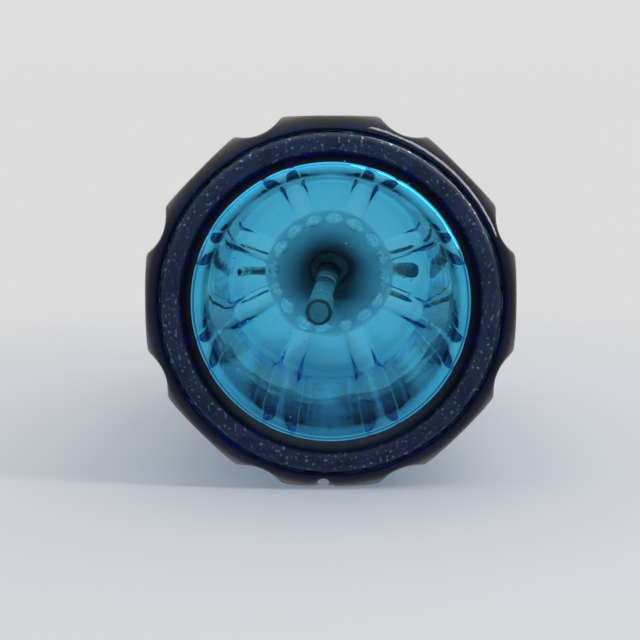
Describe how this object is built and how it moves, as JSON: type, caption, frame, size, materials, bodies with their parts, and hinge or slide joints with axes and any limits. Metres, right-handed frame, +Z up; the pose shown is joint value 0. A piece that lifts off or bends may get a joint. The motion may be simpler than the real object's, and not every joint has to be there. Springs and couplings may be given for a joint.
{
  "type": "soda siphon",
  "caption": "Eight-sided fluted blue glass soda siphon with a kick-up base, a clamped metal head, a bent spout and a spring-loaded thumb lever on a push valve.",
  "frame": {"origin": "centre of the bottle's standing ring, in the plane it stands on", "axes": "+Z up along the bottle's axis from the base to the head, +Y towards the thumb lever, -Y towards the spout, +X to the right with the lever towards the back"},
  "size_m": [0.105, 0.1328, 0.3085],
  "materials": {
    "blue_glass": "transparent peacock-blue glass, nearly black where it is thick",
    "clear_glass": "clear glass with a slight green tint",
    "pewter": "cast tin alloy, dull and darkened with age",
    "nickel": "turned metal with worn plating",
    "brass": "turned brass, slightly tarnished",
    "rubber": "black moulded rubber, matt",
    "steel": "drawn steel"
  },
  "bodies": {
    "siphon": {"bottle": "blue_glass", "dip_tube": "clear_glass", "neck_gasket": "rubber", "split_ring_left": "brass", "split_ring_right": "brass", "clamp_collar": "nickel", "head_body": "pewter", "spout": "pewter", "spout_nozzle": "nickel", "tube_holder": "brass", "tube_seal": "rubber", "valve_seat": "brass", "packing_cup": "rubber", "gland_nut": "brass", "return_spring": "steel", "lever_pin": "steel"},
    "plunger": {"plunger_rod": "steel", "valve_disc": "rubber", "valve_cup": "brass", "valve_nut": "brass", "button": "nickel"},
    "thumb_lever": {"lever": "nickel"}
  },
  "joints": [
    {"name": "lever_hinge", "type": "hinge", "parent": "siphon", "child": "thumb_lever", "pos_m": [0, -0.014, 0.303], "axis": [-1, 0, 0], "range_deg": [0, 10], "stiffness_Nm_per_rad": 0.4, "springref_deg": -17.19},
    {"name": "plunger_slide", "type": "slide", "parent": "siphon", "child": "plunger", "axis": [0, 0, -1], "range_m": [0, 0.0026], "deforming": ["return_spring"]}
  ],
  "couplings": [
    {"joint": "plunger_slide", "follows": "lever_hinge", "m_per_rad": 0.014}
  ]
}
